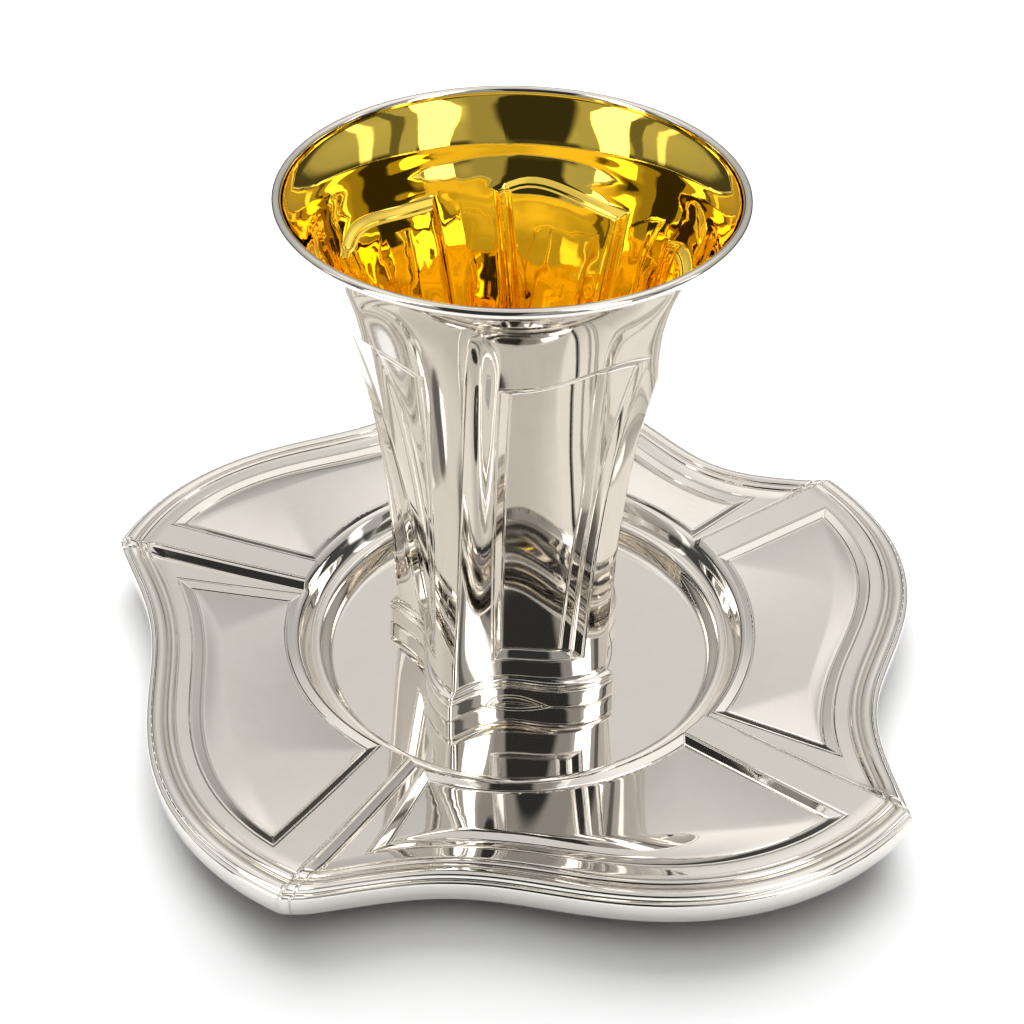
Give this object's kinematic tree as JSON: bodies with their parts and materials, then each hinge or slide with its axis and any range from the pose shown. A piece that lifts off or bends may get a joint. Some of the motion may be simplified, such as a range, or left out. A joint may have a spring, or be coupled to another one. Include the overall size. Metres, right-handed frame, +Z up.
{
  "type": "kiddush cup",
  "caption": "Flared cup with ogee-fluted sides and a gilt inside, standing in the well of a matching rippled saucer.",
  "frame": {"origin": "on the table, in the middle of the flat underside of the saucer's well", "axes": "+Z up; +Y away from the viewer, +X to the right"},
  "size_m": [0.1635, 0.1563, 0.1047],
  "materials": {
    "cup_silver": "polished silver, gilt inside",
    "saucer_silver": "polished silver"
  },
  "bodies": {
    "root": {"cup": "cup_silver", "saucer": "saucer_silver"}
  },
  "joints": []
}
